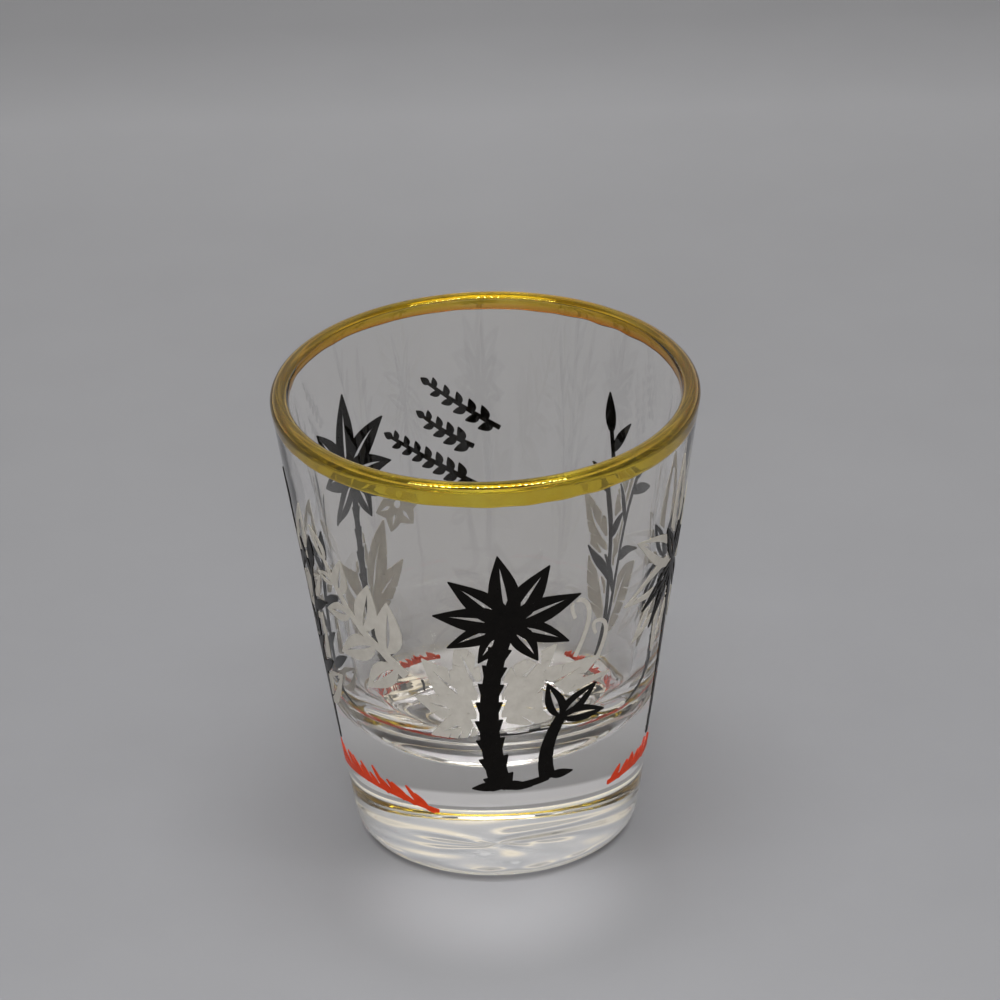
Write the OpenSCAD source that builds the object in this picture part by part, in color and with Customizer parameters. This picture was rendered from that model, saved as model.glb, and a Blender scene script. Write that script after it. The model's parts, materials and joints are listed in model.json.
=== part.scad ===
// Shot glass: a pressed-glass tumbler with a thick solid base and a bowl-shaped bottom to its
// cavity, a band of gold lustre round its lip, and a plant pattern fired onto the outside
// in black, white and red enamel.
// Millimetres. The origin is the centre of the foot plane and +Z points up.
// The front of the pattern faces -Y; print angles are measured from there towards +X.

/* [Glass] */
// Overall height of the glass
glass_h = 55; // [53.5:0.5:58]
// Diameter over the lip, its widest point
rim_d = 48; // [46:0.5:50]
// Flare of the outside wall, in degrees from upright
wall_flare = 8.55; // [8:0.05:9]
// Thickness of the rounded lip
lip_t = 2.1; // [1.8:0.1:2.4]
// Radius of the heel, where the outside wall turns under the foot
heel_r = 2.6; // [2:0.1:3]

/* [Cavity and foot] */
// Height of the lowest part of the cavity above the foot plane
floor_h = 12.9; // [12.3:0.1:14]
// Flare of the cavity wall, in degrees from upright
cavity_flare = 9.5; // [9:0.1:10]
// Radius of the round that turns the cavity wall into its floor
corner_r = 13; // [11:0.5:13.5]
// Diameter of the shallow recess under the foot
recess_d = 24; // [18:0.5:26]
// Depth of the recess under the foot
recess_depth = 0.7; // [0.4:0.1:1.2]

/* [Gold band] */
// Thickness of the gold film
gold_t = 0.05; // [0.03:0.01:0.1]
// How far the gold reaches down the outside, from the top of the lip
gold_h = 2.5; // [1.6:0.1:4]
// How many of the lip's 24 steps the gold covers, counted from the outside
gold_over = 20; // [14:1:23]

/* [Enamel pattern] */
// Thickness of the fired enamel
enamel_t = 0.08; // [0.05:0.01:0.15]
// Height of the ground line from which the plants grow
ground_h = 13.4; // [12.5:0.1:14.5]
// Height of the ring of red grass
grass_h = 10.6; // [9.5:0.1:11]
// Clear gap between two enamel colours that meet
colour_gap = 0.3; // [0.2:0.05:0.4]

/* [Hidden] */

$fn = 96;

glass_colour = [0.86, 0.90, 0.88, 0.35];
gold_colour = [0.72, 0.60, 0.22];
black_colour = [0.07, 0.06, 0.05];
white_colour = [0.86, 0.84, 0.79];
red_colour = [0.80, 0.20, 0.09];

// The lip is a half circle that the two walls meet along their tangents.
lip_r = lip_t / 2;
lip_centre = [rim_d / 2 - lip_r, glass_h - lip_r];
lip_steps = 24;
arc_steps = 12;

// Rounding of the printed outlines.
print_round = 0.1;

// Radius of the outside wall at a height
function wall_r(z) = lip_centre.x + lip_r * cos(wall_flare)
    + (z - lip_centre.y + lip_r * sin(wall_flare)) * tan(wall_flare);

// Radius of the cavity wall at a height
function cavity_r(z) = lip_centre.x - lip_r * cos(cavity_flare)
    + (z - lip_centre.y - lip_r * sin(cavity_flare)) * tan(cavity_flare);

// Points on a circle from one angle to another
function arc(centre, r, from, to, steps = arc_steps) =
    [for (i = [0:steps]) centre + r * [cos(from + (to - from) * i / steps),
                                       sin(from + (to - from) * i / steps)]];

// The lip's curve, from the outside wall over the top to the cavity wall
function lip_curve(r) = arc(lip_centre, r, -wall_flare, 180 - cavity_flare, lip_steps);

// The part of that curve that the gold lies on
function gold_curve(r) = [for (i = [0:gold_over]) lip_curve(r)[i]];

heel_centre = [wall_r(heel_r) - heel_r / cos(wall_flare), heel_r];
bowl_steps = 24;
corner_centre = [cavity_r(floor_h + corner_r) - corner_r / cos(cavity_flare),
                 floor_h + corner_r];
// The recess always leaves a ring at least this wide to stand on.
least_land = 1;
recess_edge = min(recess_d / 2, heel_centre.x - least_land);

// ---------- glass ----------

module glass_body() {
    color(glass_colour)
        rotate_extrude()
            polygon(concat(
                [[0, recess_depth]],
                arc([recess_edge - recess_depth, 0], recess_depth, 90, 0),
                arc(heel_centre, heel_r, -90, -wall_flare),
                lip_curve(lip_r),
                arc(corner_centre, corner_r, -cavity_flare, -90, bowl_steps),
                [[0, floor_h]]));
}

module gold_rim_band() {
    foot_z = glass_h - gold_h;
    color(gold_colour)
        rotate_extrude()
            polygon(concat(
                [[wall_r(foot_z), foot_z]],
                [[wall_r(foot_z) + gold_t / cos(wall_flare), foot_z]],
                gold_curve(lip_r + gold_t),
                reverse(gold_curve(lip_r))));
}

function reverse(list) = [for (i = [len(list) - 1:-1:0]) list[i]];

// ---------- how a flat print goes onto the wall ----------

// The thin conical shell that all the enamel lies in
module enamel_shell(low, high) {
    rotate_extrude()
        polygon([[wall_r(low), low],
                 [wall_r(low) + enamel_t, low],
                 [wall_r(high) + enamel_t, high],
                 [wall_r(high), high]]);
}

// Wraps the flat print given as children onto the wall, facing one angle.
// In the flat print X runs to the right and Y is the height.
// Shrinking it first drops slivers and then growing it rounds every corner.
module print_on_wall(angle, colour, low, high) {
    color(colour)
        intersection() {
            enamel_shell(low, high);
            rotate([0, 0, angle])
                rotate([90, 0, 0])
                    linear_extrude(rim_d)
                        offset(r = print_round, $fn = 8)
                            offset(delta = -print_round)
                                children();
        }
}

// Keeps the second colour clear of the first: child 0 is printed where child 1 is not.
module clear_of() {
    difference() {
        children(0);
        offset(delta = colour_gap)
            children(1);
    }
}

// ---------- drawing tools for plants ----------

leaf_steps = 8;
stem_steps = 10;

// One edge of a leaf that starts at the origin and heads along +X
function leaf_edge(length, width, bend, side) =
    [for (i = [1:leaf_steps - 1])
        let (t = i / leaf_steps)
        [length * t, bend * t * t + side * width / 2 * sin(180 * pow(t, 0.75))]];

module leaf(at, heading, length, width, bend = 0) {
    translate(at)
        rotate(heading)
            polygon(concat([[0, 0]],
                           leaf_edge(length, width, bend, -1),
                           [[length, bend]],
                           reverse(leaf_edge(length, width, bend, 1))));
}

// The middle part of a leaf, from one share of its length to another and narrower
module leaf_core(at, heading, length, width, bend, from, to) {
    slope = atan(2 * bend * from / length);
    translate(at)
        rotate(heading)
            translate([length * from, bend * from * from])
                leaf([0, 0], slope, length * (to - from), width, bend * (to - from) * (to - from));
}

vein_w = 0.5;

// A leaf with an open vein along its middle
module veined_leaf(at, heading, length, width, bend = 0) {
    difference() {
        leaf(at, heading, length, width, bend);
        leaf_core(at, heading, length, vein_w, bend, 0.1, 0.82);
    }
}

// A leaf with a vein and slits that run from it to the edge
module slit_leaf(at, heading, length, width, bend, slits) {
    difference() {
        veined_leaf(at, heading, length, width, bend);
        for (i = [1:slits], side = [-1, 1]) {
            t = (i - 0.25 * (side + 1)) / (slits + 0.6);
            translate(at)
                rotate(heading)
                    translate([length * t, bend * t * t])
                        rotate(side * 48)
                            translate([width * 0.16, 0])
                                polygon([[0, 0], [width, -0.26], [width, 0.26]]);
        }
    }
}

// Only the outline and the middle rib of a leaf
module open_leaf(at, heading, length, width, bend, edge) {
    difference() {
        leaf(at, heading, length, width, bend);
        for (side = [-1, 1])
            leaf_core(at, heading + side * width / length * 13, length, width * 0.5 - edge * 1.3,
                      bend - side * width * 0.2, 0.1, 0.88);
    }
}

// A point on a stem that leaves a, bends towards b and ends at c
function on_stem(a, b, c, t) = (1 - t) * (1 - t) * a + 2 * t * (1 - t) * b + t * t * c;

// The direction of that stem, as a unit vector
function stem_way(a, b, c, t) =
    let (d = (1 - t) * (b - a) + t * (c - b))
    d / norm(d);

function stem_heading(a, b, c, t) =
    let (d = stem_way(a, b, c, t))
    atan2(d.y, d.x);

function stem_edge(a, b, c, w_start, w_end, side) =
    [for (i = [0:stem_steps])
        let (t = i / stem_steps,
             d = stem_way(a, b, c, t),
             w = w_start + (w_end - w_start) * t)
        on_stem(a, b, c, t) + side * w / 2 * [-d.y, d.x]];

module stem(a, b, c, w_start, w_end) {
    polygon(concat(stem_edge(a, b, c, w_start, w_end, -1),
                   reverse(stem_edge(a, b, c, w_start, w_end, 1))));
}

// A stem with leaves in pairs along it, shrinking towards the tip
module leafy_stem(a, b, c, w, pairs, length, width, spread) {
    stem(a, b, c, w, w * 0.6);
    for (i = [0:pairs - 1], side = [-1, 1]) {
        t = 0.08 + 0.9 * (i + 0.25 * (side + 1)) / pairs;
        size = 1 - 0.4 * t;
        leaf(on_stem(a, b, c, t), stem_heading(a, b, c, t) + side * spread,
             length * size, width * size, -side * length * size * 0.15);
    }
    leaf(on_stem(a, b, c, 0.97), stem_heading(a, b, c, 1), length * 0.7, width * 0.7);
}

// A palm trunk with rings: short stacked pieces that widen upwards round a thin core
module ringed_trunk(a, b, c, w_start, w_end, rings) {
    stem(a, b, c, w_start * 0.8, w_end * 0.8);
    for (i = [0:rings - 1]) {
        t0 = i / rings;
        t1 = (i + 0.72) / rings;
        w = w_start + (w_end - w_start) * t0;
        d = stem_way(a, b, c, t0);
        side = [-d.y, d.x];
        polygon([on_stem(a, b, c, t0) - side * w * 0.36,
                 on_stem(a, b, c, t1) - side * w * 0.58,
                 on_stem(a, b, c, t1) + side * w * 0.58,
                 on_stem(a, b, c, t0) + side * w * 0.36]);
    }
}

// A crown of arching leaves round one point: each is [heading, length]
module leaf_crown(at, leaves, width, droop) {
    for (one = leaves) {
        bend = -droop * cos(one[0]);
        veined_leaf(at, one[0], one[1], width, bend);
    }
}

// A round bloom of pointed petals, open between them and in the middle
module bloom(at, r, petals, turn = 0) {
    translate(at)
        difference() {
            for (i = [0:petals - 1])
                veined_leaf([0, 0], turn + 360 * i / petals, r, r * 0.8, 0);
            circle(r = r * 0.15, $fn = 16);
        }
}

// A tendril that curls over at its end
module tendril(foot, height, reach, w) {
    stem(foot, foot + [reach * 1.5, height * 0.8], foot + [reach * 0.5, height], w, w);
    stem(foot + [reach * 0.5, height], foot + [-reach * 0.5, height * 1.1],
         foot + [reach * 0.05, height * 0.7], w, w * 0.8);
}

// ---------- front: one broad-leaved plant in black, with white leaves behind it ----------

front_angle = 4;
front_foot = [-0.6, ground_h];
front_crown = [0.4, ground_h + 22.8];
shoot_foot = [4.6, ground_h + 0.7];
shoot_crown = [6.1, ground_h + 9];

module front_plant_print() {
    ringed_trunk(front_foot, [-3.8, ground_h + 12], front_crown, 3.1, 2.2, 9);
    leaf_crown(front_crown, [[30, 8.6], [64, 9], [96, 9.8], [130, 9], [160, 8.4]], 3.6, 2);
    leaf_crown(front_crown, [[-16, 7.6], [-50, 6.2], [194, 7.6], [226, 6.2]], 2.8, 1.5);
    stem(shoot_foot, shoot_foot + [-1, 4], shoot_crown, 1.9, 1.3);
    leaf_crown(shoot_crown, [[2, 5.2], [46, 5.6], [104, 5.4]], 2.3, 0.9);
    // roots that spread along the ground and join the two
    for (side = [-1, 1])
        leaf(front_foot + [0, 0.6], 90 + side * 96, 3.6, 1.3, side * 0.2);
    stem(front_foot + [0, 0.35], front_foot + [2.4, 0.1], shoot_foot + [0, 0.3], 0.9, 0.9);
    leaf(shoot_foot + [0, 0.5], -6, 3, 1.2, 0.2);
}

module front_plant() {
    print_on_wall(front_angle, black_colour, ground_h - 1.5, ground_h + 34)
        front_plant_print();
}

module front_white_print() {
    root = [-1.6, ground_h + 10.6];
    for (one = [[116, 11, 4.6, -1], [146, 10.4, 5, -1.6], [176, 8.6, 4.6, -1], [204, 7.6, 3.8, 0.4],
                [58, 11.5, 4.8, -1.6], [30, 13.6, 5.6, -1.4], [5, 13.8, 5, 1.6]])
        slit_leaf(root, one[0], one[1], one[2], one[3], 5);
    tendril([7.8, ground_h + 17], 7.6, 1.9, 0.5);
    tendril([10.2, ground_h + 15.6], 5.4, 1.4, 0.45);
}

module front_white_leaves() {
    print_on_wall(front_angle, white_colour, ground_h + 4, ground_h + 29)
        clear_of() {
            front_white_print();
            front_plant_print();
        }
}

// ---------- front left: a long white branch that climbs away to the side ----------

front_left_angle = -40;

module front_left_branch() {
    fork = [1.2, ground_h + 17.4];
    print_on_wall(front_left_angle, white_colour, ground_h + 6, ground_h + 36)
        union() {
            stem([4, ground_h + 14.8], [2.6, ground_h + 16], fork, 1.3, 1.1);
            stem(fork, [-3, ground_h + 19.6], [-6.4, ground_h + 26.6], 1.1, 0.6);
            for (one = [[-6.4, 26.4, 112, 4.6, 2], [-5.4, 23.8, 158, 3, 1.6],
                        [-4.8, 22.8, 66, 5.4, 2.6], [-3, 20.6, 184, 4.6, 2.4],
                        [-1.4, 19.2, 68, 7.2, 3.4], [0.4, 17.8, 202, 7, 3.4],
                        [1.8, 17, 76, 7.6, 3.6], [3, 15.6, 214, 6.4, 3.2]])
                veined_leaf([one[0], ground_h + one[1]], one[2], one[3], one[4], 0.8);
        }
}

// ---------- reeds: clumps of thin stems that fan out from one foot ----------

// Each stem is [sideways lean of its top, height]
module reed_clump(foot, stems, w) {
    for (one = stems) {
        top = foot + [one[0], one[1]];
        way = foot + [one[0] * 0.18, one[1] * 0.55];
        stem(foot, way, top, w * 1.5, w);
        // a seed head and slender leaves on alternate sides
        leaf(on_stem(foot, way, top, 0.96), stem_heading(foot, way, top, 1), 5.2, 1.6, 0.3);
        for (i = [1:4]) {
            t = 0.16 + 0.18 * i;
            side = i % 2 == 0 ? 1 : -1;
            leaf(on_stem(foot, way, top, t), stem_heading(foot, way, top, t) + side * 32,
                 5.2, 1.25, side);
        }
    }
}

left_angle = -80;

module left_reeds_print() {
    reed_clump([0, ground_h - 1], [[-5, 27], [-0.4, 31], [4.8, 25.5]], 0.55);
}

module left_reeds() {
    print_on_wall(left_angle, black_colour, ground_h - 3, ground_h + 38.5)
        left_reeds_print();
}

module left_white_leaves() {
    print_on_wall(left_angle, white_colour, ground_h + 1, ground_h + 38.5)
        clear_of() {
            for (level = [0, 13])
                for (one = [[102, 15, 4.2, 1], [76, 16, 4.4, -1], [128, 9, 3.6, 1],
                            [52, 9.4, 3.6, -1.2]])
                    open_leaf([0, ground_h + 4 + level], one[0], one[1], one[2], one[3], 0.5);
            left_reeds_print();
        }
}

// ---------- back left: a second broad-leaved plant, taller and leaning ----------

back_left_angle = -126;
back_left_crown = [-0.6, ground_h + 23.4];

module back_left_plant_print() {
    foot = [1.6, ground_h];
    ringed_trunk(foot, [3.4, ground_h + 13], back_left_crown, 2.4, 1.8, 9);
    leaf_crown(back_left_crown, [[28, 7.8], [62, 9.2], [98, 10.2], [134, 8.9], [166, 7.1]], 3.4, 2);
    leaf_crown(back_left_crown, [[-18, 6.8], [206, 6.8], [240, 6]], 2.8, 1.5);
    for (side = [-1, 1])
        leaf(foot + [0, 0.6], 90 + side * 94, 3.6, 1.3, side * 0.2);
}

module back_left_plant() {
    print_on_wall(back_left_angle, black_colour, ground_h - 1.5, ground_h + 37)
        back_left_plant_print();
}

module back_left_white_leaves() {
    root = [2.6, ground_h + 6];
    print_on_wall(back_left_angle, white_colour, ground_h + 1, ground_h + 36)
        clear_of() {
            union() {
                for (one = [[42, 7, 4, 0.8], [70, 12, 4.6, -0.8], [96, 13.5, 4.6, 1],
                            [132, 13, 5, -2], [158, 10.4, 4.4, -1.6]])
                    slit_leaf(root, one[0], one[1], one[2], one[3], 5);
                bloom([-7, ground_h + 18], 3.4, 6, 0);
            }
            back_left_plant_print();
        }
}

// ---------- right: a slim palm with open white leaves ----------

right_angle = 68;
right_crown = [1.8, ground_h + 22.4];

module right_palm_print() {
    ringed_trunk([1.8, ground_h - 0.6], [3, ground_h + 9], right_crown, 1.0, 1.4, 13);
    leaf_crown(right_crown, [[-46, 7.6], [226, 8.4], [196, 8], [28, 6.8], [74, 7.4], [116, 7]],
               1.7, 1.4);
}

module right_palm() {
    print_on_wall(right_angle, black_colour, ground_h - 2.5, ground_h + 38)
        right_palm_print();
}

module right_white_leaves() {
    print_on_wall(right_angle, white_colour, ground_h + 6, ground_h + 38.5)
        clear_of() {
            for (one = [[-64, 10.4], [-22, 9.6], [12, 9.6], [50, 11], [94, 14.6], [138, 12],
                        [176, 10.4], [212, 10.6], [248, 11]])
                open_leaf(right_crown, one[0], one[1], 3.8, -2 * cos(one[0]), 0.55);
            right_palm_print();
        }
}

// ---------- back right: more reeds, with long white leaves ----------

back_right_angle = 124;

module back_right_reeds_print() {
    reed_clump([0.6, ground_h - 0.6], [[-3.8, 25.4], [4.4, 28.4]], 0.55);
}

module back_right_reeds() {
    print_on_wall(back_right_angle, black_colour, ground_h - 3, ground_h + 37)
        back_right_reeds_print();
}

module back_right_white_leaves() {
    print_on_wall(back_right_angle, white_colour, ground_h + 1, ground_h + 37)
        clear_of() {
            for (one = [[3, 110, 13, 4.2], [3.6, 66, 12, 4], [13, 98, 16, 4.4], [12, 44, 10, 3.4]])
                slit_leaf([0.6, ground_h + one[0]], one[1], one[2], one[3], 0.8, 5);
            back_right_reeds_print();
        }
}

// ---------- back: three leafy twigs, one above the other ----------

twig_angle = 190;
twig_slope = 36;

// A twig by the middle of its stem, as [sideways, height], and its length
module twig(middle, length, pairs) {
    half = length / 2 * [cos(twig_slope), sin(twig_slope)];
    print_on_wall(twig_angle, black_colour, middle.y - length, middle.y + length)
        leafy_stem(middle - half, middle + [0.3, -0.5], middle + half, 0.6, pairs, 2.1, 1.15, 52);
}

module twig_upper() {
    twig([-1.2, 41.6], 10.4, 5);
}

module twig_middle() {
    twig([0.8, 38.6], 7.4, 4);
}

module twig_lower() {
    twig([2.9, 35.6], 13, 7);
}

// ---------- red grass round the base ----------

blade_gap = 0.7;
blade_w = 0.62;
blade_bend = 0.16;
blade_sway = 12;
blade_vary = 0.2;
sod_w = [0.62, 0.55];
sod_drop = 0.28;
sod_jog = 0.2;
grass_reach = 5;

// A strip of short blades that lean over one another, centred on one angle.
// The strip follows the ring of grass with a slope, and its middle stands higher by arch.
module grass(angle, length, slope, lean, blade, arch = 0) {
    blades = floor(length / blade_gap);
    middle = [0, grass_h];
    half = length / 2 * [1, slope];
    print_on_wall(angle, red_colour, grass_h - grass_reach, grass_h + grass_reach)
        union() {
            stem(middle - half - [0, arch], middle + [0, arch], middle + half - [0, arch],
                 sod_w[0], sod_w[1]);
            for (i = [0:blades - 1]) {
                along = (i + 0.5) / blades - 0.5;
                foot = middle + [along * length,
                                 along * length * slope - 4 * arch * along * along
                                 - sod_drop + sod_jog * sin(137 * i)];
                leaf(foot, lean + blade_sway * sin(97 * i),
                     blade * (1 + blade_vary * sin(211 * i)), blade_w, blade_bend);
            }
        }
}

module grass_front_left() {
    grass(-52, 17.4, 0.02, 132, 2.9, 1.1);
}

module grass_front_right() {
    grass(62, 10, -0.03, 50, 2.4, 0.2);
}

module grass_right() {
    grass(100, 6.8, 0.05, 56, 2);
}

module grass_back_right() {
    grass(132, 8, 0.1, 128, 1.7);
}

module grass_back_left() {
    grass(-140, 8.6, 0.1, 50, 1.7);
}

module grass_left() {
    grass(-104, 7.4, -0.06, 126, 2.2);
}

glass_body();
gold_rim_band();
front_plant();
front_white_leaves();
front_left_branch();
left_reeds();
left_white_leaves();
back_left_plant();
back_left_white_leaves();
right_palm();
right_white_leaves();
back_right_reeds();
back_right_white_leaves();
twig_upper();
twig_middle();
twig_lower();
grass_front_left();
grass_front_right();
grass_right();
grass_back_right();
grass_back_left();
grass_left();
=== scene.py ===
"""Looks of the shot glass: clear pressed glass, a fired gold lip and fired enamel plants.

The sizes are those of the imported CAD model, in its frame. Lengths are metres.
"""

import json
import math

import bpy
import numpy as np
from mathutils import Matrix, Vector


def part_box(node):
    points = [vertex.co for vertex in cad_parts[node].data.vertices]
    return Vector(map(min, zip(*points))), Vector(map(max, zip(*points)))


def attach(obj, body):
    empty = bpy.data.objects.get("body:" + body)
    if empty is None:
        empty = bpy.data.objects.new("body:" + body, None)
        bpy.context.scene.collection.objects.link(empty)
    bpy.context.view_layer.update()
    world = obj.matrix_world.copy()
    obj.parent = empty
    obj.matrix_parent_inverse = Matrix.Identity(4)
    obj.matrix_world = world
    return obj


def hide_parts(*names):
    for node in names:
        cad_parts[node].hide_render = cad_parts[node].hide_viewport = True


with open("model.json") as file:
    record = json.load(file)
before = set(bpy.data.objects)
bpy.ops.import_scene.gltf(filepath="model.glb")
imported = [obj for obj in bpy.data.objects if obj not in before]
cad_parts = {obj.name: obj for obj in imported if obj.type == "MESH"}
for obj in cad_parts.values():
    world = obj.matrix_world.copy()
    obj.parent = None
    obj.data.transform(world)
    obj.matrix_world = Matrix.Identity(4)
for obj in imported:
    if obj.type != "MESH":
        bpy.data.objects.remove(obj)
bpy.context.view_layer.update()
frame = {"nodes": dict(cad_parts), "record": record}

MM = 0.001
BODY = "root"

# ---------- shape of the glass, as in the CAD ----------

LOW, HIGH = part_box("glass_body")
GLASS_H = HIGH[2] - LOW[2]
RIM_R = (HIGH[0] - LOW[0]) / 2
WALL_FLARE = math.radians(8.55)
CAVITY_FLARE = math.radians(9.5)
LIP_R = 1.05 * MM
HEEL_R = 2.6 * MM
FLOOR_H = 12.9 * MM
CORNER_R = 13.0 * MM
RECESS_R = 12.0 * MM
RECESS_DEPTH = 0.7 * MM
ENAMEL_T = 0.08 * MM
GOLD_T = 0.05 * MM
GOLD_H = 2.5 * MM
GOLD_END = math.radians(140.7)

LIP_CENTRE = (RIM_R - LIP_R, GLASS_H - LIP_R)


def wall_r(z):
    """Radius of the outside wall at a height."""
    tangent_z = LIP_CENTRE[1] - LIP_R * math.sin(WALL_FLARE)
    return LIP_CENTRE[0] + LIP_R * math.cos(WALL_FLARE) + (z - tangent_z) * math.tan(WALL_FLARE)


def cavity_r(z):
    """Radius of the cavity wall at a height."""
    tangent_z = LIP_CENTRE[1] + LIP_R * math.sin(CAVITY_FLARE)
    return LIP_CENTRE[0] - LIP_R * math.cos(CAVITY_FLARE) + (z - tangent_z) * math.tan(CAVITY_FLARE)


HEEL_CENTRE = (wall_r(HEEL_R) - HEEL_R / math.cos(WALL_FLARE), HEEL_R)
CORNER_Z = FLOOR_H + CORNER_R
CORNER_CENTRE = (cavity_r(CORNER_Z) - CORNER_R / math.cos(CAVITY_FLARE), CORNER_Z)


# ---------- lathe work ----------

def arc(centre, radius, start, end, steps):
    """Points and outward directions along a circle, angles in radians."""
    out = []
    for i in range(steps + 1):
        a = start + (end - start) * i / steps
        way = (math.cos(a), math.sin(a))
        out.append((centre[0] + radius * way[0], centre[1] + radius * way[1], *way))
    return out


def line(start, end, way, steps, ends=False):
    """Points along a straight stretch that share one outward direction."""
    span = range(steps + 1) if ends else range(1, steps)
    return [(start[0] + (end[0] - start[0]) * i / steps,
             start[1] + (end[1] - start[1]) * i / steps, *way) for i in span]


def waves(angle, along, terms):
    """A smooth wandering height made of sines. Each term is turns, waves per metre, phase, size."""
    total = np.zeros(np.broadcast(angle, along).shape)
    for turns, per_metre, phase, size in terms:
        total += size * np.sin(turns * angle + 2 * math.pi * per_metre * along + phase)
    return total


def wave_terms(seed, count, turns, per_metre, size):
    """Random but repeatable terms for waves()."""
    random = np.random.default_rng(seed)
    terms = []
    for _ in range(count):
        terms.append((int(random.integers(turns[0], turns[1] + 1)),
                      random.uniform(*per_metre) * random.choice([-1, 1]),
                      random.uniform(0, 2 * math.pi), size * random.uniform(0.4, 1) / math.sqrt(count)))
    return terms


def lathe(name, rows, around, push, closed=False):
    """Turns a profile round Z.

    rows are (radius, height, outward direction). push(angle, along, row) moves a row's points
    along that direction. A row on the axis becomes one point.
    """
    angles = np.arange(around) * 2 * math.pi / around
    verts, rings = [], []
    along = 0.0
    previous = None
    for index, (r, z, way_r, way_z) in enumerate(rows):
        if previous is not None:
            along += math.hypot(r - previous[0], z - previous[1])
        previous = (r, z)
        if r < 1e-9:
            rings.append([len(verts)])
            verts.append((0.0, 0.0, z))
            continue
        move = push(angles, along, index)
        radii, heights = r + way_r * move, z + way_z * move
        rings.append(list(range(len(verts), len(verts) + around)))
        for a, rr, zz in zip(angles, radii, heights):
            verts.append((rr * math.sin(a), -rr * math.cos(a), zz))
    faces = []
    pairs = list(zip(rings, rings[1:]))
    if closed:
        pairs.append((rings[-1], rings[0]))
    for low, high in pairs:
        for i in range(around):
            j = (i + 1) % around
            if len(low) == 1:
                faces.append((low[0], high[j], high[i]))
            elif len(high) == 1:
                faces.append((low[i], low[j], high[0]))
            else:
                faces.append((low[i], low[j], high[j], high[i]))
    mesh = bpy.data.meshes.new(name)
    mesh.from_pydata(verts, [], faces)
    mesh.validate()
    mesh.shade_smooth()
    piece = bpy.data.objects.new(name, mesh)
    bpy.context.scene.collection.objects.link(piece)
    return piece


# ---------- node helpers ----------

def new_material(name):
    """A new material, its node tree and its Principled shader."""
    material = bpy.data.materials.new(name)
    material.use_nodes = True
    tree = material.node_tree
    return material, tree, tree.nodes["Principled BSDF"]


def noise(tree, scale, detail=3.0, roughness=0.5, distortion=0.0):
    """Noise over the object's own coordinates. scale is in cycles per metre."""
    coordinates = tree.nodes.new("ShaderNodeTexCoord")
    texture = tree.nodes.new("ShaderNodeTexNoise")
    texture.inputs["Scale"].default_value = scale
    texture.inputs["Detail"].default_value = detail
    texture.inputs["Roughness"].default_value = roughness
    texture.inputs["Distortion"].default_value = distortion
    tree.links.new(coordinates.outputs["Object"], texture.inputs["Vector"])
    return texture.outputs["Fac"]


def ramp(tree, value, stops):
    """A colour ramp. Each stop is a position and an RGB colour."""
    node = tree.nodes.new("ShaderNodeValToRGB")
    elements = node.color_ramp.elements
    while len(elements) < len(stops):
        elements.new(0.5)
    for element, (position, colour) in zip(elements, stops):
        element.position = position
        element.color = (*colour, 1.0)
    tree.links.new(value, node.inputs["Fac"])
    return node.outputs["Color"]


def spread(tree, value, low, high, low_in=0.3, high_in=0.7):
    """Maps a noise value onto a range of numbers."""
    node = tree.nodes.new("ShaderNodeMapRange")
    node.inputs["From Min"].default_value = low_in
    node.inputs["From Max"].default_value = high_in
    node.inputs["To Min"].default_value = low
    node.inputs["To Max"].default_value = high
    tree.links.new(value, node.inputs["Value"])
    return node.outputs["Result"]


def scaled(tree, value, low, high, smooth=False):
    """Maps low..high onto 0..1."""
    node = tree.nodes.new("ShaderNodeMapRange")
    if smooth:
        node.interpolation_type = "SMOOTHSTEP"
    node.inputs["From Min"].default_value = low
    node.inputs["From Max"].default_value = high
    tree.links.new(value, node.inputs["Value"])
    return node.outputs["Result"]


def mixed(tree, share, first, second):
    """Blends two colours, each a socket or a plain RGBA value."""
    node = tree.nodes.new("ShaderNodeMix")
    node.data_type = "RGBA"
    factor, *colours = (socket for socket in node.inputs if socket.enabled)
    tree.links.new(share, factor)
    for socket, colour in zip(colours, (first, second)):
        if isinstance(colour, tuple):
            socket.default_value = colour
        else:
            tree.links.new(colour, socket)
    return next(socket for socket in node.outputs if socket.enabled)


def bump(tree, shader, height, distance, strength=1.0):
    """Roughens a surface by a height in metres."""
    node = tree.nodes.new("ShaderNodeBump")
    node.inputs["Distance"].default_value = distance
    node.inputs["Strength"].default_value = strength
    tree.links.new(height, node.inputs["Height"])
    tree.links.new(node.outputs["Normal"], shader.inputs["Normal"])


# ---------- materials ----------

GLASS_TINT = (0.995, 0.981, 0.958, 1)
GLASS_IOR = 1.515

# The gold film's own colour where it is thin, a painted shade of deeper amber at the lower edge of its
# back half, and a painted dark reflection at the sides. The edges are metres along the axis that each
# change runs along, or above the band's lower edge.
GOLD_METALLIC = 0.20
GOLD_THIN = [(0.3, (0.90, 0.65, 0.030)), (0.7, (0.96, 0.79, 0.070))]
GOLD_BACK_PAINTED_SHADE = (0.86, 0.34, 0.008, 1)
GOLD_SIDE_PAINTED_REFLECTION = (0.52, 0.29, 0.02, 1)
GOLD_SIDE_REFLECTION_SHARE = 0.75
BACK_SHADE_ABOVE_EDGE = (0.2 * MM, 1.1 * MM)
BACK_SHADE_ALONG_Y = (-12 * MM, 2 * MM)
SIDE_REFLECTION_ALONG_X = (15 * MM, 24 * MM)


def glass_material():
    """Clear soda-lime glass, with faint marks of handling on its skin."""
    material, tree, shader = new_material("clear_glass")
    shader.inputs["Base Color"].default_value = GLASS_TINT
    shader.inputs["Transmission Weight"].default_value = 1.0
    shader.inputs["IOR"].default_value = GLASS_IOR
    smears = noise(tree, 130, detail=4.0, roughness=0.6, distortion=0.4)
    tree.links.new(spread(tree, smears, 0.0, 0.03, 0.5, 0.75), shader.inputs["Roughness"])
    bump(tree, shader, noise(tree, 90, detail=2.0), 0.02 * MM, 0.5)
    return material


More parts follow.
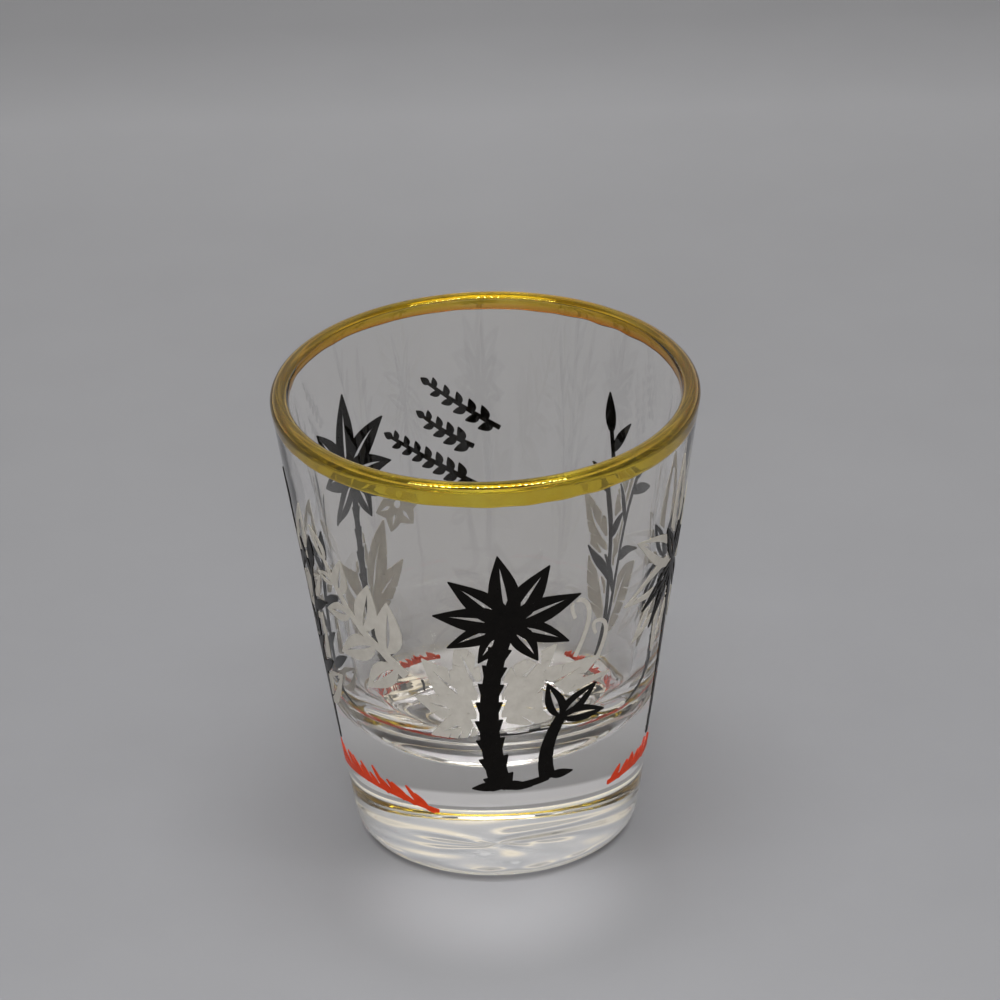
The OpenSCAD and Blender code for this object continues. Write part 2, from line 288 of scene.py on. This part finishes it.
def gold_material():
    """Fired gold lustre: a clear yellow film that also mirrors a little."""
    material, tree, shader = new_material("gold_film")
    shader.inputs["Metallic"].default_value = GOLD_METALLIC
    shader.inputs["Transmission Weight"].default_value = 1.0
    shader.inputs["IOR"].default_value = GLASS_IOR
    patches = noise(tree, 160, detail=4.0, roughness=0.55)
    thin = ramp(tree, patches, GOLD_THIN)
    coordinates = tree.nodes.new("ShaderNodeTexCoord")
    split = tree.nodes.new("ShaderNodeSeparateXYZ")
    tree.links.new(coordinates.outputs["Object"], split.inputs["Vector"])
    # Painted shade: the lower edge of the band's back half, where the film is seen through the glass,
    # gets a deeper amber.
    foot_z = GLASS_H - GOLD_H
    low = spread(tree, split.outputs["Z"], 1.0, 0.0, *(foot_z + edge for edge in BACK_SHADE_ABOVE_EDGE))
    back = spread(tree, split.outputs["Y"], 0.0, 1.0, *BACK_SHADE_ALONG_Y)
    back_shade = tree.nodes.new("ShaderNodeMath")
    back_shade.operation = "MULTIPLY"
    tree.links.new(low, back_shade.inputs[0])
    tree.links.new(back, back_shade.inputs[1])
    colour = mixed(tree, back_shade.outputs["Value"], thin, GOLD_BACK_PAINTED_SHADE)
    # Painted reflection: the band turns dark brown towards its left and right sides, for the dark
    # surroundings it mirrors there.
    out = tree.nodes.new("ShaderNodeMath")
    out.operation = "ABSOLUTE"
    tree.links.new(split.outputs["X"], out.inputs[0])
    side = spread(tree, out.outputs["Value"], 0.0, GOLD_SIDE_REFLECTION_SHARE, *SIDE_REFLECTION_ALONG_X)
    colour = mixed(tree, side, colour, GOLD_SIDE_PAINTED_REFLECTION)
    tree.links.new(colour, shader.inputs["Base Color"])
    rub = noise(tree, 420, detail=5.0, roughness=0.6)
    tree.links.new(spread(tree, rub, 0.0, 0.02), shader.inputs["Roughness"])
    bump(tree, shader, noise(tree, 300, detail=1.0), 0.004 * MM, 0.5)
    return material


def enamel_material(name, dark, light, rough):
    """Fired enamel: pigmented glass with a fine orange-peel skin and a slightly uneven tone."""
    material, tree, shader = new_material(name)
    tone = noise(tree, 700, detail=5.0, roughness=0.65)
    tree.links.new(ramp(tree, tone, [(0.3, dark), (0.7, light)]), shader.inputs["Base Color"])
    skin = noise(tree, 2600, detail=3.0)
    tree.links.new(spread(tree, skin, rough[0], rough[1]), shader.inputs["Roughness"])
    shader.inputs["Specular IOR Level"].default_value = 0.1
    bump(tree, shader, skin, 0.015 * MM, 0.7)
    return material


# ---------- glass body ----------

GLASS_AROUND = 384
# Rows of points along each stretch of the glass's outline.
UNDER_ROWS, STEP_ROWS, FOOT_ROWS, HEEL_ROWS, WALL_ROWS = 34, 5, 5, 12, 44
LIP_ROWS, CAVITY_ROWS, CORNER_ROWS, BOWL_ROWS = 22, 34, 40, 8
# Where the waves grow from nothing: from the axis, from the bowl to the cavity wall, up to the
# top of the heel, and how far below the rim they end and over what height they fade.
AXIS_REACH = 2 * MM
BOWL_TO_WALL = (5 * MM, 11 * MM)
HEEL_WAVE_TOP = 4 * MM
WALL_FADE = (4 * MM, 8 * MM)
CAVITY_FADE = (2 * MM, 6 * MM)


def glass_rows():
    """The glass's whole outline, from the axis under the foot round to the axis of the cavity."""
    out_way = (math.cos(WALL_FLARE), -math.sin(WALL_FLARE))
    in_way = (-math.cos(CAVITY_FLARE), math.sin(CAVITY_FLARE))
    recess_edge = (RECESS_R - RECESS_DEPTH, 0.0)
    heel = arc(HEEL_CENTRE, HEEL_R, -math.pi / 2, -WALL_FLARE, HEEL_ROWS)
    lip = arc(LIP_CENTRE, LIP_R, -WALL_FLARE, math.pi - CAVITY_FLARE, LIP_ROWS)
    corner = arc(CORNER_CENTRE, -CORNER_R, math.pi - CAVITY_FLARE, math.pi / 2, CORNER_ROWS)
    step = arc(recess_edge, RECESS_DEPTH, math.pi / 2, 0, STEP_ROWS)
    step = [(r, z, -way_r, -way_z) for r, z, way_r, way_z in step]
    rows = [(0.0, RECESS_DEPTH, 0, -1)]
    rows += line((0, RECESS_DEPTH), step[0][:2], (0, -1), UNDER_ROWS)
    rows += step
    rows += line(step[-1][:2], heel[0][:2], (0, -1), FOOT_ROWS)
    rows += heel
    rows += line(heel[-1][:2], lip[0][:2], out_way, WALL_ROWS)
    rows += lip
    rows += line(lip[-1][:2], corner[0][:2], in_way, CAVITY_ROWS)
    rows += corner
    rows += line(corner[-1][:2], (0, FLOOR_H), (0, 1), BOWL_ROWS)
    rows.append((0.0, FLOOR_H, 0, 1))
    return rows


def fade_to_rim(z, fade):
    """1 low on the glass, falling to 0 at the first length of fade below the rim."""
    return min(1.0, max(0.0, (GLASS_H - fade[0] - z) / fade[1]))


def glass_push(rows):
    """How far each point of the glass stands off the true shape: pressed glass is never quite even."""
    wall = wave_terms(11, 6, (1, 4), (2, 16), 0.010 * MM)
    cavity = wave_terms(12, 14, (3, 30), (0, 5), 0.014 * MM)
    under = wave_terms(13, 22, (0, 8), (35, 150), 0.070 * MM)
    floor = wave_terms(14, 10, (0, 5), (20, 90), 0.030 * MM)
    heel = wave_terms(15, 12, (2, 22), (30, 200), 0.035 * MM)

    def push(angles, along, index):
        r, z, way_r, way_z = rows[index]
        if way_z < -0.9 and z > RECESS_DEPTH * 0.9:
            return waves(angles, along, under) * min(1.0, r / AXIS_REACH)
        if way_r <= 0 and RECESS_DEPTH < z < CORNER_Z and way_z > 0:
            inner, outer = BOWL_TO_WALL
            wall_share = min(1.0, max(0.0, (r - inner) / (outer - inner)))
            bowl = waves(angles, along, floor) * min(1.0, r / AXIS_REACH)
            return waves(angles, along, cavity) * wall_share + bowl * (1 - wall_share)
        if way_r > 0 and HEEL_R * 0.25 < z < GLASS_H - 2 * LIP_R:
            near_foot = max(0.0, 1 - z / HEEL_WAVE_TOP)
            fade = fade_to_rim(z, WALL_FADE)
            return waves(angles, along, wall) * fade + waves(angles, along, heel) * near_foot
        if way_r < 0 and z >= CORNER_Z:
            return waves(angles, along, cavity) * fade_to_rim(z, CAVITY_FADE)
        return np.zeros(len(angles))

    return push


def make_glass(material):
    rows = glass_rows()
    piece = lathe("glass_body_clear", rows, GLASS_AROUND, glass_push(rows))
    piece.data.materials.append(material)
    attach(piece, BODY)
    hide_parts("glass_body")


# ---------- gold band ----------

GOLD_AROUND = 384
# The film's back is sunk into the glass. Its face waves a little and thins at its two edges,
# and its lower edge wanders and tilts.
GOLD_SINK = 0.02 * MM
GOLD_WAVE = 0.006 * MM
GOLD_EDGE_SHARE = 0.3
GOLD_LIP_ROWS, GOLD_WALL_ROWS = 24, 6
EDGE_REACH = 1.2 * MM
EDGE_WAVE = 0.07 * MM
EDGE_LIFT, EDGE_TILT, EDGE_TILT_ANGLE = 0.05 * MM, 0.25 * MM, math.radians(50)


def gold_rows():
    """The path of the band on the glass: up the outside and over the lip to its inner edge."""
    out_way = (math.cos(WALL_FLARE), -math.sin(WALL_FLARE))
    foot_z = GLASS_H - GOLD_H
    lip = arc(LIP_CENTRE, LIP_R, -WALL_FLARE, GOLD_END, GOLD_LIP_ROWS)
    outside = line((wall_r(foot_z), foot_z), lip[0][:2], out_way, GOLD_WALL_ROWS, ends=True)
    return outside[:-1] + lip


def make_gold(material):
    path = gold_rows()
    count = len(path)
    rows = path + path[::-1]
    body = wave_terms(22, 8, (2, 18), (20, 120), GOLD_WAVE)

    def push(angles, along, index):
        if index >= count:
            return np.full(len(angles), -GOLD_SINK)
        if index in (0, count - 1):
            return np.full(len(angles), GOLD_EDGE_SHARE * GOLD_T)
        return GOLD_T + waves(angles, along, body) - GOLD_WAVE

    piece = lathe("gold_lip", rows, GOLD_AROUND, push, closed=True)
    wander_edge(piece)
    piece.data.materials.append(material)
    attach(piece, BODY)
    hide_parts("gold_rim_band")


def wander_edge(piece):
    """Lets the band's lower edge rise and fall, as a line laid by a turning wheel does."""
    foot_z = GLASS_H - GOLD_H
    terms = wave_terms(21, 10, (3, 40), (0, 0.01), EDGE_WAVE)
    for vertex in piece.data.vertices:
        x, y, z = vertex.co
        share = max(0.0, 1 - (z - foot_z) / EDGE_REACH)
        if share <= 0:
            continue
        r, angle = math.hypot(x, y), math.atan2(x, -y)
        drift = EDGE_LIFT - EDGE_TILT * math.cos(angle - EDGE_TILT_ANGLE)
        lift = (drift + float(waves(np.array([angle]), 0.0, terms)[0])) * share
        scale = (r + lift * math.tan(WALL_FLARE)) / r
        vertex.co = (x * scale, y * scale, z + lift)


# ---------- enamel ----------

ENAMEL_SINK = 0.05 * MM
SHARP_EDGE = math.radians(40)


def make_print(node, material):
    """The CAD film's own shape, with its back face sunk into the glass so that no gap shows."""
    source = frame["nodes"][node]
    mesh = source.data.copy()
    mesh.name = f"{node}_enamel"
    for vertex in mesh.vertices:
        x, y, z = vertex.co
        r = math.hypot(x, y)
        if r < wall_r(z) + ENAMEL_T / 2:
            scale = (r - ENAMEL_SINK) / r
            vertex.co = (x * scale, y * scale, z)
    mesh.materials.clear()
    mesh.materials.append(material)
    mesh.shade_smooth()
    mesh.set_sharp_from_angle(angle=SHARP_EDGE)
    piece = bpy.data.objects.new(mesh.name, mesh)
    bpy.context.scene.collection.objects.link(piece)
    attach(piece, BODY)
    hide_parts(node)


# ---------- studio ----------

FLOOR_SIDE = 6.0
STRIP_PLACE = Vector((0.0, -0.11, 0.40))
STRIP_LENGTH = 0.36
LED_COUNT = 26
LED_SIZE = (0.0042, 0.03)
LED_ENERGY = 0.024
# Sizes in metres and energies in watts.
STRIP_WIDTH, STRIP_ENERGY = 0.02, 0.32
PANEL_PLACE, PANEL_SIZE, PANEL_ENERGY = (0.0, 0.05, 1.1), (0.7, 0.6), 4.2
PANEL_COLOUR = (1.0, 0.99, 0.96)
FILL_PLACE, FILL_SIZE, FILL_ENERGY = (0.0, -0.9, 0.40), (0.5, 0.35), 3.0
FLOOR_DROP = 0.02 * MM

# Painted light and shade on the paper: how light it is painted along Y, as a place in metres and a
# share of its grey, and how much painted shade darkens it to the sides.
PAPER_NEAR, PAPER_FAR = -0.12, 0.26
PAPER_PAINTED_SHADE_ALONG = [(-0.12, 1.02), (-0.05, 0.99), (0.0, 0.93), (0.10, 0.93), (0.15, 0.95), (0.185, 1.02),
               (0.215, 0.80), (0.26, 0.72)]
PAPER_GREY = (0.376, 0.384, 0.420)
SIDE_PAINTED_SHADE, SIDE_PAINTED_SHADE_REACH = 0.92, 0.07

# Painted light and painted shadow on the paper, standing in for what the thick glass base does to the
# light. Each pool is a place, an inner and an outer radius, and added light: painted light under the
# bowl, a painted contact shadow at the line of contact, painted light in front, and a painted crescent
# of light close behind the foot.
PAINTED_LIGHT_POOLS = [((0, 0.004, 0), 0.0095, 0.0115, 3.0), ((0, 0, 0), 0.0147, 0.0158, -0.70),
         ((0, -0.017, 0), 0.004, 0.020, 0.62), ((0, 0.0142, 0), 0.0098, 0.0114, 1.10)]


def floor_material():
    """Pale grey paper, a little uneven in tone, with painted shade to the sides and far behind and
    painted pools of light and shadow round the glass.
    """
    material, tree, shader = new_material("floor_paper")
    coordinates = tree.nodes.new("ShaderNodeTexCoord")
    split = tree.nodes.new("ShaderNodeSeparateXYZ")
    tree.links.new(coordinates.outputs["Object"], split.inputs["Vector"])
    # Painted light and shade along Y.
    along = scaled(tree, split.outputs["Y"], PAPER_NEAR, PAPER_FAR)
    stops = [((place - PAPER_NEAR) / (PAPER_FAR - PAPER_NEAR), tuple(share * g for g in PAPER_GREY))
             for place, share in PAPER_PAINTED_SHADE_ALONG]
    tone = ramp(tree, along, stops)
    side = tree.nodes.new("ShaderNodeMath")
    side.operation = "ABSOLUTE"
    tree.links.new(split.outputs["X"], side.inputs[0])
    # Painted shade, darkening the paper towards the sides.
    painted_side_shade = spread(tree, side.outputs["Value"], 1.0, SIDE_PAINTED_SHADE, 0.0, SIDE_PAINTED_SHADE_REACH)
    grain = spread(tree, noise(tree, 60, detail=6.0), 0.985, 1.015)
    # Painted pools of light and a painted contact shadow, multiplied into the paper's colour.
    painted_pool_light = None
    for place, inner, outer, gain in PAINTED_LIGHT_POOLS:
        reach = tree.nodes.new("ShaderNodeVectorMath")
        reach.operation = "DISTANCE"
        tree.links.new(coordinates.outputs["Object"], reach.inputs[0])
        reach.inputs[1].default_value = place
        painted_pool = scaled(tree, reach.outputs["Value"], outer, inner, smooth=True)
        add = tree.nodes.new("ShaderNodeMath")
        add.operation = "MULTIPLY_ADD"
        tree.links.new(painted_pool, add.inputs[0])
        add.inputs[1].default_value = gain
        if painted_pool_light is None:
            add.inputs[2].default_value = 1.0
        else:
            tree.links.new(painted_pool_light, add.inputs[2])
        painted_pool_light = add.outputs["Value"]
    for factor in (painted_side_shade, grain, painted_pool_light):
        scale = tree.nodes.new("ShaderNodeVectorMath")
        scale.operation = "SCALE"
        tree.links.new(tone, scale.inputs[0])
        tree.links.new(factor, scale.inputs["Scale"])
        tone = scale.outputs["Vector"]
    tree.links.new(tone, shader.inputs["Base Color"])
    shader.inputs["Roughness"].default_value = 0.75
    bump(tree, shader, noise(tree, 2500, detail=2.0), 0.01 * MM, 0.3)
    return material


def make_floor():
    """A pale grey floor, just under the foot, with painted light and shade in its colour."""
    half = FLOOR_SIDE / 2
    mesh = bpy.data.meshes.new("floor")
    mesh.from_pydata([(-half, -half, 0), (half, -half, 0), (half, half, 0), (-half, half, 0)],
                     [], [(0, 1, 2, 3)])
    floor = bpy.data.objects.new("floor", mesh)
    floor.location = (0, 0, -FLOOR_DROP)
    bpy.context.scene.collection.objects.link(floor)
    mesh.materials.append(floor_material())


def area_light(name, place, target, size, energy, colour=(1, 1, 1)):
    """An oval lamp that faces a target. Energy is in watts."""
    data = bpy.data.lights.new(name, "AREA")
    data.shape = "ELLIPSE"
    data.size, data.size_y = size
    data.energy = energy
    data.color = colour
    light = bpy.data.objects.new(name, data)
    light.location = place
    way = Vector(target) - Vector(place)
    light.rotation_euler = way.to_track_quat("-Z", "Y").to_euler()
    bpy.context.scene.collection.objects.link(light)
    return light


def make_lights():
    """A strip over the front, whose lamps show as dots in the gold, a panel above and a fill."""
    target = Vector((0, 0, GLASS_H / 2))
    strip = area_light("strip", STRIP_PLACE, target, (STRIP_LENGTH, STRIP_WIDTH), STRIP_ENERGY)
    strip.visible_glossy = False
    strip.visible_camera = False
    panel = area_light("panel", PANEL_PLACE, target, PANEL_SIZE, PANEL_ENERGY, PANEL_COLOUR)
    panel.visible_glossy = False
    panel.visible_camera = False
    for i in range(LED_COUNT):
        x = (i / (LED_COUNT - 1) - 0.5) * STRIP_LENGTH
        place = STRIP_PLACE + Vector((x, 0, 0))
        lamp = area_light(f"led_{i:02d}", place, Vector((x, 0, GLASS_H)), LED_SIZE, LED_ENERGY)
        lamp.visible_diffuse = False
        lamp.visible_transmission = False
        lamp.visible_camera = False
    fill = area_light("front_fill", FILL_PLACE, target, FILL_SIZE, FILL_ENERGY)
    fill.visible_glossy = False
    fill.visible_transmission = False
    fill.visible_camera = False


# The surround by height above the horizon, as its sine and a colour: behind the glass and before it.
BEHIND = [(-0.10, (0.34, 0.34, 0.34)), (0.0, (0.94, 0.88, 0.72)), (0.10, (0.72, 0.69, 0.61)),
          (0.17, (0.62, 0.60, 0.55)), (0.30, (0.34, 0.34, 0.35)), (0.42, (0.40, 0.41, 0.43)),
          (0.52, (0.52, 0.52, 0.53)), (0.58, (0.86, 0.79, 0.66)), (0.64, (0.40, 0.40, 0.41)),
          (0.80, (0.48, 0.47, 0.45)), (1.0, (0.14, 0.14, 0.14))]
BEFORE = [(-0.10, (0.20, 0.20, 0.20)), (0.30, (0.16, 0.16, 0.16)), (0.56, (0.20, 0.20, 0.19)),
          (0.62, (0.90, 0.82, 0.66)), (0.74, (0.90, 0.82, 0.66)), (0.85, (0.10, 0.10, 0.10)),
          (1.0, (0.12, 0.12, 0.12))]
# The angles from straight behind, in degrees, where the look behind ends and where it is full.
BEHIND_EDGES = (92, 36)
LOWEST, HIGHEST = -0.1, 1.0


def make_world():
    """The inside of a small light box: pale bands behind the glass and darker before it."""
    world = bpy.data.worlds.new("surround")
    world.use_nodes = True
    tree = world.node_tree
    coordinates = tree.nodes.new("ShaderNodeTexCoord")
    split = tree.nodes.new("ShaderNodeSeparateXYZ")
    tree.links.new(coordinates.outputs["Generated"], split.inputs["Vector"])
    height = scaled(tree, split.outputs["Z"], LOWEST, HIGHEST)
    looks = []
    for stops in (BEFORE, BEHIND):
        places = [((sine - LOWEST) / (HIGHEST - LOWEST), colour) for sine, colour in stops]
        looks.append(ramp(tree, height, places))
    edges = [math.cos(math.radians(angle)) for angle in BEHIND_EDGES]
    share = scaled(tree, split.outputs["Y"], edges[0], edges[1], smooth=True)
    tree.links.new(mixed(tree, share, *looks), tree.nodes["Background"].inputs["Color"])
    bpy.context.scene.world = world


# ---------- camera ----------

SENSOR = 36.0
LENS = 284.04
CAMERA_PLACE = Vector((0.0, -0.780, 0.461))
CAMERA_PITCH = math.radians(28.33)
CAMERA_YAW = math.radians(0.097)
CAMERA_ROLL = math.radians(-1.62)


def make_camera():
    """Long lens, looking down at the glass from the front."""
    data = bpy.data.cameras.new("camera")
    data.sensor_width = SENSOR
    data.lens = LENS
    data.clip_start, data.clip_end = 0.01, 50
    camera = bpy.data.objects.new("camera", data)
    forward = Vector((math.sin(CAMERA_YAW) * math.cos(CAMERA_PITCH),
                      math.cos(CAMERA_YAW) * math.cos(CAMERA_PITCH), -math.sin(CAMERA_PITCH)))
    level = Vector((math.cos(CAMERA_YAW), -math.sin(CAMERA_YAW), 0))
    up = level.cross(forward)
    right = math.cos(CAMERA_ROLL) * level + math.sin(CAMERA_ROLL) * up
    top = -math.sin(CAMERA_ROLL) * level + math.cos(CAMERA_ROLL) * up
    turn = Matrix((right, top, -forward)).transposed()
    camera.matrix_world = Matrix.Translation(CAMERA_PLACE) @ turn.to_4x4()
    bpy.context.scene.collection.objects.link(camera)
    bpy.context.scene.camera = camera


def set_light_paths():
    """Enough bounces for light that turns many times inside the thick base."""
    scene = bpy.context.scene
    scene.cycles.max_bounces = 32
    scene.cycles.transmission_bounces = 28
    scene.cycles.glossy_bounces = 16
    scene.cycles.diffuse_bounces = 6
    scene.view_settings.view_transform = "Standard"


# ---------- the whole scene ----------

# Each enamel's darker and lighter colour, and its range of roughness.
SLOT_LOOKS = {
    "black_enamel": ((0.0022, 0.0017, 0.0012), (0.0050, 0.0040, 0.0030), (0.25, 0.45)),
    "white_enamel": ((0.55, 0.52, 0.47), (0.66, 0.63, 0.575), (0.30, 0.50)),
    "red_enamel": ((0.74, 0.048, 0.010), (0.88, 0.075, 0.016), (0.30, 0.50)),
}


def main():
    make_camera()
    make_floor()
    make_lights()
    make_world()
    set_light_paths()
    make_glass(glass_material())
    make_gold(gold_material())
    enamels = {slot: enamel_material(slot, *look) for slot, look in SLOT_LOOKS.items()}
    for part in frame["record"]["subparts"]:
        if part["material_slot"] in enamels:
            make_print(part["node"], enamels[part["material_slot"]])


main()
